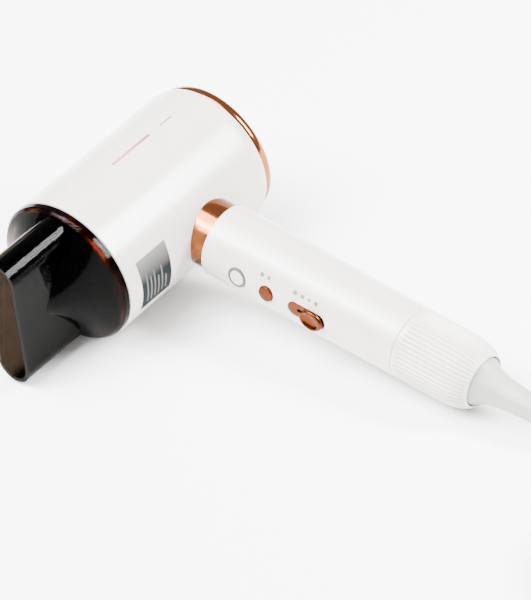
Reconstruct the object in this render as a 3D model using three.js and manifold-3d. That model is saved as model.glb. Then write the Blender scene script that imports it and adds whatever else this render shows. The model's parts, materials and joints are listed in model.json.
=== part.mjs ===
// A T-shaped hair dryer lying on its side, with a slot nozzle, inner works, cord, coil and plug.
// Millimetres, +Z up. The barrel's axis runs along Y with the outlet towards -Y. The handle leaves
// along +X and droops by the few degrees that bring its end down to the surface.
// The origin is at the middle of the dryer's footprint, on the surface that it lies on.
import * as THREE from "three";
import { mergeVertices } from "three/addons/utils/BufferGeometryUtils.js";
import Module from "manifold-3d";

const wasm = await Module();
wasm.setup();

// ---- driving dimensions ----
const BARREL_RADIUS = 39;
const BARREL_WALL = 2.2;
const BARREL_FRONT = -62.9; // measured along Y from the handle's axis
const BARREL_REAR = 43.8;
const REAR_FACE = 49.3;
const NOZZLE_MOUTH = -111.3;
const SLOT_HALF_GAP = 10; // outside half thickness of the nozzle's flat duct
const SLOT_HALF_STRAIGHT = 27;
const NOZZLE_WALL = 2;
const HANDLE_RADIUS = 19.1; // next to the collar
const HANDLE_END_RADIUS = 18.4; // where the rounded end begins
const HANDLE_START = 46.8; // measured along the handle from the barrel's axis
const COVER_START = 164;
const COVER_ROUND_START = 191;
const COVER_END = 206.8;
const CORD_RADIUS = 3.5;
const GAP = 0.3; // clearance between neighbouring pieces

const BARREL_INNER = BARREL_RADIUS - BARREL_WALL;
const BARREL_PLACE = new THREE.Vector3(-84, 31, BARREL_RADIUS);

// The outline of the rounded handle end, a stretch of an ellipse, moved in by the inset.
function coverCurve(inset) {
  const [halfLength, depth, steps] = [16.67, 7, 5];
  const last = Math.asin((COVER_END - COVER_ROUND_START) / halfLength);
  const points = [];
  for (let i = 0; i <= steps; i += 1) {
    const turn = (last * i) / steps;
    const radius = HANDLE_END_RADIUS - depth * (1 - Math.cos(turn));
    points.push([COVER_ROUND_START + (halfLength - inset) * Math.sin(turn), radius - inset * Math.cos(turn)]);
  }
  return points;
}

// The tilt at which each point of the rounded end would touch the surface. The smallest is met first.
const touchTilts = coverCurve(0).map(
  ([along, radius]) => Math.asin(BARREL_RADIUS / Math.hypot(along, radius)) - Math.atan2(radius, along),
);
const REST_TILT = Math.min(...touchTilts);

// The controls' row sits a little above the middle of the handle's side.
const CONTROL_TURN = THREE.MathUtils.degToRad(5.5);

const SHELL_SIDES = 40;
const HANDLE_SIDES = 28;
const SMALL_SIDES = 14;

// ---- solids ----
const MERGE_DISTANCE = 1e-3;

// A closed geometry as a solid, with its faces turned outwards.
function solidOf(geometry) {
  const bare = new THREE.BufferGeometry();
  bare.setAttribute("position", geometry.getAttribute("position").clone());
  if (geometry.index) bare.setIndex(geometry.index.clone());
  const merged = mergeVertices(bare, MERGE_DISTANCE);
  const corners = merged.index.array;
  const triangles = [];
  for (let i = 0; i < corners.length; i += 3) {
    const [a, b, c] = [corners[i], corners[i + 1], corners[i + 2]];
    if (a !== b && b !== c && c !== a) triangles.push([a, b, c]);
  }
  const vertProperties = merged.attributes.position.array;
  const build = (list) =>
    new wasm.Manifold(new wasm.Mesh({ numProp: 3, vertProperties, triVerts: new Uint32Array(list.flat()) }));
  const solid = build(triangles);
  return solid.volume() > 0 ? solid : build(triangles.map(([a, b, c]) => [a, c, b]));
}

function geometryOf(solid) {
  const mesh = solid.getMesh();
  const geometry = new THREE.BufferGeometry();
  geometry.setAttribute("position", new THREE.BufferAttribute(new Float32Array(mesh.vertProperties), 3));
  geometry.setIndex(new THREE.BufferAttribute(new Uint32Array(mesh.triVerts), 1));
  geometry.computeVertexNormals();
  return geometry;
}

function join(...geometries) {
  return geometryOf(geometries.map(solidOf).reduce((whole, next) => whole.add(next)));
}

function cut(geometry, ...tools) {
  return geometryOf(tools.map(solidOf).reduce((rest, tool) => rest.subtract(tool), solidOf(geometry)));
}

// A turned piece about Y, from an outline of [along, radius] points.
function turnedY(outline, sides = SHELL_SIDES) {
  const points = outline.map(([along, radius]) => new THREE.Vector2(radius, along));
  points.push(points[0].clone());
  return new THREE.LatheGeometry(points, sides);
}

// The same about X, for the pieces of the handle.
function turnedX(outline, sides = HANDLE_SIDES) {
  return turnedY(outline, sides).rotateZ(-Math.PI / 2);
}

function band(from, to, inner, outer) {
  return [[from, inner], [from, outer], [to, outer], [to, inner]];
}

function box(from, to) {
  const low = new THREE.Vector3(...from);
  const high = new THREE.Vector3(...to);
  const size = high.clone().sub(low);
  const middle = low.add(high).multiplyScalar(0.5);
  return new THREE.BoxGeometry(size.x, size.y, size.z).translate(middle.x, middle.y, middle.z);
}

// A flat outline drawn in X and Z, given a thickness along Y.
function plateY(shape, from, to, curveSegments = 8) {
  const geometry = new THREE.ExtrudeGeometry(shape, { depth: to - from, bevelEnabled: false, curveSegments });
  return geometry.rotateX(Math.PI / 2).translate(0, to, 0);
}

// A straight-sided outline with round ends: a pill, or with a small corner a rounded rectangle.
function pill(halfWidth, halfHeight, corner) {
  const [x, y] = [halfWidth - corner, halfHeight - corner];
  const shape = new THREE.Shape();
  shape.absarc(x, y, corner, 0, Math.PI / 2);
  shape.absarc(-x, y, corner, Math.PI / 2, Math.PI);
  shape.absarc(-x, -y, corner, Math.PI, 1.5 * Math.PI);
  shape.absarc(x, -y, corner, 1.5 * Math.PI, 2 * Math.PI);
  return shape;
}

// A round tube along a smooth curve through points.
function tube(points, radius, sides, steps) {
  const section = new THREE.Shape();
  for (let i = 0; i < sides; i += 1) {
    const turn = (2 * Math.PI * (i + 0.5)) / sides;
    const [x, y] = [radius * Math.cos(turn), radius * Math.sin(turn)];
    if (i === 0) section.moveTo(x, y);
    else section.lineTo(x, y);
  }
  section.closePath();
  const extrudePath = new THREE.CatmullRomCurve3(points.map((p) => new THREE.Vector3(...p)));
  return new THREE.ExtrudeGeometry(section, { steps, extrudePath, bevelEnabled: false });
}

// ---- finishes ----
const plastic = (colour, roughness) => ({ colour, roughness, metalness: 0 });
const metal = (colour, roughness) => ({ colour, roughness, metalness: 1 });
const PEARL_WHITE = plastic(0xece9e4, 0.35);
const ROSE_GOLD = metal(0xd08a5c, 0.15);
const SMOKED = plastic(0x2e211d, 0.08);
const SOFT_GREY = plastic(0xd9dcd5, 0.6);
const DARK_PLASTIC = plastic(0x2a2b2d, 0.5);
const TRIM_GREY = plastic(0x6f6f70, 0.4);
const STEEL = metal(0xb9bcc0, 0.25);
const COPPER = metal(0xb06a3c, 0.35);
const MICA = plastic(0xc9b98c, 0.7);
const BOARD_GREEN = plastic(0x1e5a3a, 0.5);
const FOAM = plastic(0x55585c, 0.95);
const RUBBER = plastic(0x1b1b1c, 0.8);
const LABEL_SILVER = metal(0xb8bdc2, 0.35);
const WIRE_RED = plastic(0xa02020, 0.5);
const WIRE_BLUE = plastic(0x1f3f8f, 0.5);

// ---- scene graph ----
const dryer = new THREE.Group();
const barrel = new THREE.Group();
const handle = new THREE.Group();
const controls = new THREE.Group();
const cord = new THREE.Group();
barrel.position.copy(BARREL_PLACE);
handle.position.copy(BARREL_PLACE);
handle.rotation.y = REST_TILT;
controls.rotation.x = -CONTROL_TURN;
handle.add(controls);
dryer.add(barrel, handle, cord);

function add(group, name, geometry, { colour, roughness, metalness }) {
  const material = new THREE.MeshStandardMaterial({ color: colour, roughness, metalness });
  const mesh = new THREE.Mesh(geometryOf(solidOf(geometry)), material);
  mesh.name = name;
  group.add(mesh);
}

// ---- barrel: shell, trim and rear cover ----
const COLLAR_RADIUS = 17.6;
const SLEEVE_RADIUS = 16.6;

function barrelShell() {
  const shoulder = 7; // length of the rounded rear shoulder
  const rearRadius = 37.2;
  const outline = [[BARREL_FRONT, BARREL_INNER], [BARREL_FRONT, BARREL_RADIUS]];
  const steps = 4;
  for (let i = 0; i <= steps; i += 1) {
    const turn = (i / steps) * (Math.PI / 2);
    const along = BARREL_REAR - shoulder + shoulder * Math.sin(turn);
    outline.push([along, rearRadius + (BARREL_RADIUS - rearRadius) * Math.cos(turn)]);
  }
  outline.push([BARREL_REAR, 35.2], [BARREL_REAR - shoulder, BARREL_INNER]);
  const handleHole = turnedX([[20, 0], [20, SLEEVE_RADIUS + GAP], [60, SLEEVE_RADIUS + GAP], [60, 0]]);
  return cut(turnedY(outline), handleHole.rotateY(REST_TILT));
}

function rearTrimRing() {
  const [front, back, outer, inner, spigot] = [BARREL_REAR + GAP, 48.8, 37, 31.8, 34.9];
  return turnedY([
    [front - 3.6, inner + 1.6],
    [front - 3.6, spigot],
    [front, spigot],
    [front, outer],
    [back - 0.6, outer - 0.2],
    [back, outer - 0.8],
    [back, inner],
    [front - 0.6, inner],
  ]);
}

function rearCover() {
  const [front, rim, outer, thickness] = [44, 48.6, 31.4, 2];
  return turnedY([
    [front, outer - 1.8],
    [front, outer],
    [rim, outer],
    [REAR_FACE, outer - 0.8],
    [REAR_FACE, 0],
    [REAR_FACE - thickness, 0],
    [REAR_FACE - thickness, outer - 1.8],
  ]);
}

const TRIM_INNER = 33;
const TRIM_OUTER = 35.6;
const TRIM_FRONT = BARREL_FRONT - 1.9;

function frontTrimRing() {
  const flange = BARREL_INNER - GAP;
  return turnedY([
    [TRIM_FRONT, TRIM_INNER + 0.4],
    [TRIM_FRONT, TRIM_OUTER - 0.4],
    [TRIM_FRONT + 0.4, TRIM_OUTER],
    [BARREL_FRONT + 1.9, TRIM_OUTER],
    [BARREL_FRONT + 1.9, flange],
    [BARREL_FRONT + 4.9, flange],
    [BARREL_FRONT + 4.9, TRIM_INNER],
    [TRIM_FRONT + 0.4, TRIM_INNER],
  ]);
}

// Rings on four spokes, in one moulded piece.
function outletGrille() {
  const [front, back, bar] = [BARREL_FRONT + 0.4, BARREL_FRONT + 2.4, 1.3];
  const outer = TRIM_INNER - GAP;
  const rings = [outer, 24.5, 16].map((radius) => turnedY(band(front, back, radius - bar, radius), 32));
  const hub = turnedY([[front, 0], [front, 8], [back, 8], [back, 0]], 32);
  const reach = outer - bar / 2;
  const spokes = [0, 1].map((i) =>
    box([-reach, front + 0.2, -0.7], [reach, back - 0.2, 0.7]).rotateY(Math.PI / 4 + (i * Math.PI) / 2),
  );
  return join(hub, ...rings, ...spokes);
}

// The rating label is a thin curved plate on the side that the handle leaves from.
function ratingLabel() {
  const [middle, half] = [0.035, 0.393];
  const [inner, outer] = [BARREL_RADIUS + 0.12, BARREL_RADIUS + 0.42];
  const shape = new THREE.Shape();
  shape.absarc(0, 0, outer, middle - half, middle + half, false);
  shape.absarc(0, 0, inner, middle + half, middle - half, true);
  return plateY(shape, -54, -32.6);
}

add(barrel, "barrel_shell", barrelShell(), PEARL_WHITE);
add(barrel, "rear_trim_ring", rearTrimRing(), ROSE_GOLD);
add(barrel, "rear_cover", rearCover(), PEARL_WHITE);
add(barrel, "front_trim_ring", frontTrimRing(), ROSE_GOLD);
add(barrel, "outlet_grille", outletGrille(), DARK_PLASTIC);
add(barrel, "rating_label", ratingLabel(), LABEL_SILVER);

// ---- barrel: heater, ioniser and rear electronics ----
const HEATER_FRONT = -57.5;
const HEATER_BACK = -19;
const HEATER_HALF_WIDTH = 20;

function heaterFrame() {
  const [front, back, half] = [HEATER_FRONT + 1.5, HEATER_BACK - 3, 0.5];
  const plate = () => box([-HEATER_HALF_WIDTH, front, -half], [HEATER_HALF_WIDTH, back, half]);
  return join(plate(), plate().rotateY(Math.PI / 2));
}

function heaterCoil() {
  const [turns, stepsPerTurn, pitch, radius] = [6, 12, 4.6, HEATER_HALF_WIDTH + 1.5];
  const points = [];
  for (let i = 0; i <= turns * stepsPerTurn; i += 1) {
    const turn = (2 * Math.PI * i) / stepsPerTurn;
    const along = HEATER_FRONT + 4 + (pitch * i) / stepsPerTurn;
    points.push([radius * Math.cos(turn), along, radius * Math.sin(turn)]);
  }
  return tube(points, 0.6, 4, turns * stepsPerTurn);
}

function boardHeatSink() {
  const [low, high] = [[-12, 28, 6], [12, 36, 24]];
  const slots = [9.4, 13.9, 18.4].map((z) => box([-13, 27, z], [13, 33.5, z + 2.2]));
  return cut(box(low, high), ...slots);
}

add(barrel, "heater_tube", turnedY(band(HEATER_FRONT, HEATER_BACK, 31, 32), 40), MICA);
add(barrel, "heater_frame", heaterFrame(), MICA);
add(barrel, "heater_coil", heaterCoil(), STEEL);
add(barrel, "thermal_cutout", box([5, -30, 0.9], [14, -23, 4.6]), STEEL);
add(
  barrel,
  "thermal_fuse",
  new THREE.CylinderGeometry(1.7, 1.7, 10, 16).translate(-10, -29, 2.6),
  SOFT_GREY,
);
add(barrel, "ion_generator", box([-14, 20, -27], [14, 33, -14]), DARK_PLASTIC);
add(barrel, "ion_emitter", new THREE.CylinderGeometry(1.1, 1.1, 12, 12).translate(0, -49, 34.3), STEEL);
add(barrel, "power_board", turnedY([[36.5, 0], [36.5, 31], [38, 31], [38, 0]], 40), BOARD_GREEN);
add(barrel, "board_heat_sink", boardHeatSink(), STEEL);
add(barrel, "rear_noise_pad", turnedY(band(38.5, 41.5, 12, 31.5), 40), FOAM);

const MAGNETS = 4;
for (let i = 0; i < MAGNETS; i += 1) {
  const turn = Math.PI / 4 + (i * 2 * Math.PI) / MAGNETS;
  const magnet = new THREE.CylinderGeometry(1.7, 1.7, 2, 10);
  magnet.translate(34.4 * Math.cos(turn), HEATER_FRONT + 0.9, 34.4 * Math.sin(turn));
  add(barrel, `holding_magnet_${i + 1}`, magnet, STEEL);
}

// ---- nozzle ----
const FLARE_LENGTH = 30;
const FLARE_BASE = 37.3;
const FLARE_TIP = 9;
const FLARE_START = -98;
const RING_BACK = TRIM_FRONT - GAP;
const RING_FRONT = RING_BACK - 1.9;
const SHOULDER = RING_FRONT - GAP;

// The round face of the nozzle falls away to the slot in a parabola.
function flare(inset) {
  const fractions = [1, 0.85, 0.69, 0.5, 0.3, 0];
  return fractions.map((t) => [
    FLARE_START + FLARE_LENGTH * t,
    FLARE_TIP + (FLARE_BASE - FLARE_TIP) * t * t - inset,
  ]);
}

function nozzleShell() {
  const back = BARREL_FRONT - GAP;
  const rim = 38.6;
  const outside = turnedY([
    [back, 0],
    [back, rim - 0.4],
    [back - 0.4, rim],
    [back - 3, rim],
    ...flare(0),
    [FLARE_START, 0],
  ]);
  const seat = TRIM_OUTER + 0.4;
  const inside = turnedY([
    [back + 2, 0],
    [back + 2, seat],
    [SHOULDER, seat],
    [SHOULDER, FLARE_BASE - 3.5],
    ...flare(NOZZLE_WALL).slice(1),
    [FLARE_START, 0],
  ]);
  const duct = (inset, front, rear) => {
    const halfGap = SLOT_HALF_GAP - inset;
    return plateY(pill(halfGap, SLOT_HALF_STRAIGHT + halfGap, halfGap), front, rear);
  };
  const ductRear = FLARE_START + FLARE_LENGTH - 1;
  return cut(
    join(outside, duct(0, NOZZLE_MOUTH, ductRear)),
    inside,
    duct(NOZZLE_WALL, NOZZLE_MOUTH - 2, ductRear - 0.5),
  );
}

add(barrel, "nozzle_magnet_ring", turnedY(band(RING_FRONT, RING_BACK, TRIM_INNER, TRIM_OUTER)), STEEL);
add(barrel, "nozzle_shell", nozzleShell(), SMOKED);

// ---- handle: collar, shell and controls ----
const SHELL_INNER = 17;
const COOL_PLACE = 69.5;
const MODE_PLACE = 87.8;
const SLIDER_PLACE = 116.6;
const SLIDER_TRAVEL = 8;
const TRACK_PLACE = SLIDER_PLACE - SLIDER_TRAVEL / 2;
const COOL_RING_RADIUS = 5.3;
const COOL_BUTTON_RADIUS = 4.1;
const MODE_BUTTON_RADIUS = 4.2;
const TRACK_HALF = [11.2, 3.9];
const STEM_HALF = [1.4, 0.6];

function handleCollar() {
  const body = turnedX(band(30, HANDLE_START - GAP, 15, COLLAR_RADIUS));
  const reach = 30;
  const clearance = BARREL_RADIUS + GAP;
  const barrelSpace = turnedY([[-reach, 0], [-reach, clearance], [reach, clearance], [reach, 0]]);
  return join(cut(body, barrelSpace), turnedX(band(34, 55, 15, SLEEVE_RADIUS)));
}

function handleShell() {
  const end = COVER_START - 0.4;
  const endRadius = HANDLE_END_RADIUS + 0.2;
  const shell = turnedX([
    [HANDLE_START, SHELL_INNER],
    [HANDLE_START, HANDLE_RADIUS - 0.6],
    [HANDLE_START + 0.6, HANDLE_RADIUS],
    [end, endRadius],
    [end, SHELL_INNER],
  ]);
  const hole = (radius, x) => new THREE.CylinderGeometry(radius, radius, 10, SMALL_SIDES).translate(x, -17, 0);
  const [halfLength, halfWidth] = TRACK_HALF.map((half) => half + GAP);
  const trackHole = plateY(pill(halfLength, halfWidth, halfWidth), -22, -12).translate(TRACK_PLACE, 0, 0);
  const holes = [
    hole(COOL_RING_RADIUS + GAP, COOL_PLACE),
    hole(MODE_BUTTON_RADIUS + GAP, MODE_PLACE),
    trackHole,
  ];
  return cut(shell, ...holes.map((tool) => tool.rotateX(-CONTROL_TURN)));
}

// A round push button, domed on its outer face.
function pushButton(radius, x) {
  const [inner, edge, top] = [-16.8, -19.5, -20];
  const outline = [[inner, 0], [inner, radius], [edge, radius], [edge - 0.3, radius - 0.5], [top, 0]];
  return turnedY(outline, SMALL_SIDES).translate(x, 0, 0);
}

function sliderTrack() {
  const plate = pill(TRACK_HALF[0], TRACK_HALF[1], TRACK_HALF[1]);
  plate.holes.push(pill(SLIDER_TRAVEL / 2 + STEM_HALF[0] + 0.4, STEM_HALF[1] + 0.3, STEM_HALF[1] + 0.3));
  return plateY(plate, -18.3, -17.2, 4).translate(TRACK_PLACE, 0, 0);
}

// The slider's oval knob bridges the track, and its stem reaches the switch below.
function speedSlider() {
  const [halfLength, halfWidth, underside] = [6.9, 5.4, -19.45];
  const outline = [
    [underside, 0],
    [underside, halfWidth],
    [underside - 0.9, halfWidth],
    [underside - 1.7, halfWidth - 0.9],
    [underside - 1.9, 0],
  ];
  const knob = turnedY(outline, SMALL_SIDES).scale(halfLength / halfWidth, 1, 1);
  const [stemLength, stemWidth] = STEM_HALF;
  const stem = box([-stemLength, underside - 0.3, -stemWidth], [stemLength, -15.2, stemWidth]);
  return join(knob, stem).translate(SLIDER_PLACE, 0, 0);
}

add(handle, "handle_collar", handleCollar(), ROSE_GOLD);
add(handle, "handle_shell", handleShell(), PEARL_WHITE);
add(
  controls,
  "cool_shot_ring",
  turnedY(band(-19.5, -17.3, COOL_BUTTON_RADIUS + 0.25, COOL_RING_RADIUS), 32).translate(COOL_PLACE, 0, 0),
  TRIM_GREY,
);
add(controls, "cool_shot_button", pushButton(COOL_BUTTON_RADIUS, COOL_PLACE), PEARL_WHITE);
add(controls, "mode_button", pushButton(MODE_BUTTON_RADIUS, MODE_PLACE), ROSE_GOLD);
add(controls, "slider_track", sliderTrack(), ROSE_GOLD);
add(controls, "speed_slider", speedSlider(), ROSE_GOLD);

// ---- handle: control board and its switches ----
const BOARD = { outer: -11.5, inner: -10.3, from: 60, to: 123, half: 9 };

function tactSwitch(x) {
  return box([x - 3, -15, -3], [x + 3, BOARD.outer - GAP, 3]);
}

add(
  controls,
  "control_board",
  box([BOARD.from, BOARD.outer, -BOARD.half], [BOARD.to, BOARD.inner, BOARD.half]),
  BOARD_GREEN,
);
add(controls, "control_chip", box([92, BOARD.inner + GAP, -4], [100, BOARD.inner + 1.6, 4]), DARK_PLASTIC);
add(controls, "cool_shot_switch", tactSwitch(COOL_PLACE), DARK_PLASTIC);
add(controls, "mode_switch", tactSwitch(MODE_PLACE), DARK_PLASTIC);
add(
  controls,
  "slider_switch",
  box([TRACK_PLACE - 8, -14.9, -3], [TRACK_PLACE + 8, BOARD.outer - GAP, 3]),
  STEEL,
);

// ---- handle: motor ----
const MOTOR_FROM = 126;
const MOTOR_TO = 152;
const MOTOR_INNER = 12.5;
const MOTOR_OUTER = 14;

// The motor's tube carries the front bearing seat on three thin spokes.
function motorHousing() {
  const sleeve = turnedX(band(MOTOR_FROM, MOTOR_TO, MOTOR_INNER, MOTOR_OUTER), 36);
  const seat = turnedX(band(MOTOR_FROM + 2, MOTOR_FROM + 5, 4.3, 5.6), SMALL_SIDES);
  const spokes = [0, 1, 2].map((i) => {
    const spoke = box([MOTOR_FROM + 2.5, -0.6, 5], [MOTOR_FROM + 4.5, 0.6, MOTOR_INNER + 0.5]);
    return spoke.rotateX((i * 2 * Math.PI) / 3);
  });
  return join(sleeve, seat, ...spokes);
}

function motorMount(from) {
  const ring = turnedX(band(from, from + 4, MOTOR_OUTER + GAP, SHELL_INNER - GAP), 36);
  return cut(ring, box([from - 1, -3.4, -18], [from + 5, 3.4, -13.9]));
}

function impeller() {
  const [blades, hubFrom, hubTo, tip] = [9, 144.5, 151, 12];
  const hub = turnedX([[hubFrom, 1.9], [hubFrom, 5.6], [hubTo, 3.6], [hubTo, 1.9]], SMALL_SIDES);
  const fan = Array.from({ length: blades }, (_, i) => {
    const blade = box([-3, -0.3, 4], [3, 0.3, tip]).rotateZ(0.6).translate((hubFrom + hubTo) / 2 - 0.4, 0, 0);
    return blade.rotateX((i * 2 * Math.PI) / blades);
  });
  const bore = turnedX([[hubFrom - 1, 0], [hubFrom - 1, 1.9], [hubTo + 1, 1.9], [hubTo + 1, 0]], SMALL_SIDES);
  return cut(join(hub, ...fan), bore);
}

add(handle, "motor_housing", motorHousing(), DARK_PLASTIC);
add(handle, "motor_mount_front", motorMount(MOTOR_FROM + 1), RUBBER);
add(handle, "motor_mount_rear", motorMount(MOTOR_TO - 5), RUBBER);
add(handle, "motor_stator", turnedX(band(133, 142, 7.2, MOTOR_INNER - GAP), 36), COPPER);
add(handle, "rotor_magnet", turnedX(band(133, 142, 1.9, 6.6), SMALL_SIDES), STEEL);
add(handle, "motor_shaft", turnedX([[126.5, 0], [126.5, 1.5], [151.5, 1.5], [151.5, 0]], 16), STEEL);
add(handle, "motor_bearing", turnedX(band(MOTOR_FROM + 2, MOTOR_FROM + 5, 1.8, 4), SMALL_SIDES), STEEL);
add(handle, "impeller", impeller(), DARK_PLASTIC);

// ---- handle: air intake ----
const FRAME_RADIUS = 15.9;
const FRAME_INNER = 14.7;
const FRAME_END = 196;
const COVER_WALL = 1.3;

// A sleeve with a rounded end and a ring of lengthwise air slits.
function intakeCover() {
  const mouth = coverCurve(0).at(-1)[1];
  const inside = coverCurve(COVER_WALL).filter(([, radius]) => radius > mouth);
  const sleeve = turnedX([
    [COVER_START, SHELL_INNER + 0.1],
    [COVER_START, HANDLE_END_RADIUS + 0.1],
    ...coverCurve(0),
    [COVER_END - 1.2, mouth],
    ...inside.reverse(),
  ]);
  const slits = 16;
  const tools = Array.from({ length: slits / 2 }, (_, i) =>
    box([COVER_START + 5, -0.5, -21], [COVER_ROUND_START - 3, 0.5, 21]).rotateX((Math.PI * (i + 0.5)) / (slits / 2)),
  );
  return cut(sleeve, ...tools);
}

// The frame carries the cover and the cord's entry, and has four windows for the air.
function intakeFrame() {
  const body = turnedX([
    [158.5, FRAME_INNER],
    [158.5, SHELL_INNER - GAP],
    [163, SHELL_INNER - GAP],
    [163, FRAME_RADIUS],
    [FRAME_END, FRAME_RADIUS],
    [FRAME_END, 8.3],
    [FRAME_END - 1.8, 8.3],
    [FRAME_END - 1.8, FRAME_INNER],
  ], 40);
  const window = (turn) => box([167, -7, -18], [191, 7, 18]).rotateX(turn);
  return cut(body, window(0), window(Math.PI / 2));
}

function cordClamp() {
  const bar = box([180, -9, -5.4], [188, 9, -2]);
  const saddle = turnedX([[178, 0], [178, 3.8], [190, 3.8], [190, 0]], 16);
  return cut(bar, saddle);
}

add(handle, "intake_frame", intakeFrame(), DARK_PLASTIC);
add(handle, "intake_filter", turnedX(band(165.5, 191, FRAME_RADIUS + GAP, 16.7), 40), STEEL);
add(handle, "intake_cover", intakeCover(), PEARL_WHITE);
add(handle, "cord_clamp", cordClamp(), DARK_PLASTIC);

// ---- wires inside the dryer ----
const WIRE_RADIUS = 0.9;
for (const [side, name, finish] of [[-1, "blue", WIRE_BLUE], [1, "red", WIRE_RED]]) {
  const y = 1.6 * side;
  const supply = [
    [177, y, -4],
    [170, y, -7.5],
    [164, y, -10.6],
    [158.4, y, -13.2],
    [153.2, y, -15.2],
    [146, y, -15.4],
    [134, y, -15.4],
    [126.5, y, -15.3],
    [121, y - 1, -13.6],
    [114, y - 4, -11.2],
  ];
  add(handle, `supply_wire_${name}`, tube(supply, WIRE_RADIUS, 6, 24), finish);
  const lead = [
    [58.5, -6, 3 * side],
    [50, -5, 3 * side],
    [38, -7, 3 * side],
    [26, -11, 3 * side],
    [16, -15, 3 * side],
  ];
  add(handle, `heater_wire_${name}`, tube(lead, WIRE_RADIUS, 6, 12), finish);
}

// ---- cord: strain relief, run, coil, tie and plug ----
const RELIEF_TIP = 258;

// The sleeve narrows quickly out of the handle's mouth, then slowly down to the cord.
function strainRelief() {
  const neck = new THREE.SplineCurve(
    [[206.5, 12.3], [210, 10.4], [215, 8.8], [222, 7.6], [235, 6.5], [RELIEF_TIP, 4.7]].map(
      ([x, radius]) => new THREE.Vector2(x, radius),
    ),
  );
  const outline = neck.getPoints(8).map((point) => [point.x, point.y]);
  return turnedX([
    [189.5, 0],
    [189.5, 8],
    [FRAME_END + GAP, 8],
    [FRAME_END + GAP, 12.6],
    [204.5, 12.6],
    ...outline,
    [RELIEF_TIP, 0],
  ], 24);
}

// The route from the relief's tip to the coil, chosen by hand, in the dryer's own frame.
const CORD_RUN = [
  [172.9, 31, 11.3],
  [178, 31, 10.7],
  [184, 31.1, 9.9],
  [190, 31.3, 8.8],
  [196, 31.5, 7.5],
  [202, 31.8, 6.2],
  [208, 32.1, 5],
  [214, 32.4, 4.1],
  [219, 32.6, 3.65],
  [224, 32.8, 3.5],
];

// The route from the coil round to the plug.
const CORD_TAIL = [
  [289.5, 25.7, 9.6],
  [295, 22.8, 8.9],
  [300, 19.2, 8.3],
  [304.5, 15.2, 8],
  [308.6, 10.7, 8],
  [312.2, 5.9, 8.3],
  [315.3, 0.8, 8.9],
  [317.8, -4.6, 9.7],
  [319.8, -10.3, 10.7],
  [321.2, -16.2, 11.5],
  [322, -22, 12],
];

const COIL_PLACE = [252, -13.5];
const COIL_TURN_RADII = [32.5, 39.5, 46.5];
const COIL_LAYERS = 2;
const COIL_INNER = COIL_TURN_RADII[0] - CORD_RADIUS;
const COIL_OUTER = COIL_TURN_RADII[2] + CORD_RADIUS;
const COIL_HEIGHT = 2 * CORD_RADIUS * COIL_LAYERS;
const TIE_TURN = -Math.PI / 3;
const TIE_HALF_WIDTH = 4;
const TIE_INSET = 0.7;

// Outline in the coil's own cross-section, radius across and height up.
function section(inset) {
  const shape = new THREE.Shape();
  shape.moveTo(COIL_INNER + inset, inset);
  shape.lineTo(COIL_OUTER - inset, inset);
  shape.lineTo(COIL_OUTER - inset, COIL_HEIGHT - inset);
  shape.lineTo(COIL_INNER + inset, COIL_HEIGHT - inset);
  shape.closePath();
  return shape;
}

// A length of that cross-section, across the coil where the tie goes round it.
function acrossCoil(shape, halfWidth) {
  const geometry = new THREE.ExtrudeGeometry(shape, { depth: 2 * halfWidth, bevelEnabled: false });
  return geometry.translate(0, 0, -halfWidth).rotateX(Math.PI / 2).rotateZ(TIE_TURN);
}

function cordCoil() {
  const corner = 1.5;
  const ring = new THREE.LatheGeometry(
    [
      [COIL_INNER + corner, 0],
      [COIL_OUTER - corner, 0],
      [COIL_OUTER, corner],
      [COIL_OUTER, COIL_HEIGHT - corner],
      [COIL_OUTER - corner, COIL_HEIGHT],
      [COIL_INNER + corner, COIL_HEIGHT],
      [COIL_INNER, COIL_HEIGHT - corner],
      [COIL_INNER, corner],
      [COIL_INNER + corner, 0],
    ].map(([radius, height]) => new THREE.Vector2(radius, height)),
    36,
  ).rotateX(Math.PI / 2);
  const groove = section(-2);
  groove.holes.push(section(TIE_INSET + 1 + GAP + 0.3));
  return cut(ring, acrossCoil(groove, TIE_HALF_WIDTH + GAP)).translate(...COIL_PLACE, 0);
}

function coilTie() {
  const strap = section(TIE_INSET);
  strap.holes.push(section(TIE_INSET + 1));
  return acrossCoil(strap, TIE_HALF_WIDTH).translate(...COIL_PLACE, 0);
}

const PLUG_AXIS = [322.1, 12];
const PLUG_BOOT_FROM = -22.8;
const PLUG_BODY_FROM = -41;
const PLUG_FACE = -76;

function plugBody() {
  const [x, z] = PLUG_AXIS;
  const body = plateY(pill(18, z, 9), PLUG_FACE, PLUG_BODY_FROM, 6);
  const boot = turnedY([
    [PLUG_BOOT_FROM, 0],
    [PLUG_BOOT_FROM, 4.7],
    [PLUG_BODY_FROM + 4, 6],
    [PLUG_BODY_FROM - 1, 8],
    [PLUG_BODY_FROM - 1, 0],
  ], SMALL_SIDES);
  return join(body, boot).translate(x, 0, z);
}

add(handle, "strain_relief", strainRelief(), SOFT_GREY);
add(cord, "cord_run", tube(CORD_RUN, CORD_RADIUS, 8, 14), SOFT_GREY);
add(cord, "cord_coil", cordCoil(), SOFT_GREY);
add(cord, "coil_tie", coilTie(), RUBBER);
add(cord, "cord_tail", tube(CORD_TAIL, CORD_RADIUS, 8, 14), SOFT_GREY);
add(cord, "plug_body", plugBody(), SOFT_GREY);

const [PIN_RADIUS, PIN_LENGTH, PIN_OFFSET] = [2.4, 19, 9.5];
for (const [side, name] of [[-1, "plug_pin_left"], [1, "plug_pin_right"]]) {
  const pin = turnedY([
    [PLUG_FACE - GAP, 0],
    [PLUG_FACE - GAP, PIN_RADIUS],
    [PLUG_FACE - PIN_LENGTH + 1.5, PIN_RADIUS],
    [PLUG_FACE - PIN_LENGTH, PIN_RADIUS - 1.3],
    [PLUG_FACE - PIN_LENGTH, 0],
  ], 16);
  add(cord, name, pin.translate(PLUG_AXIS[0] + side * PIN_OFFSET, 0, PLUG_AXIS[1]), STEEL);
}

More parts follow.
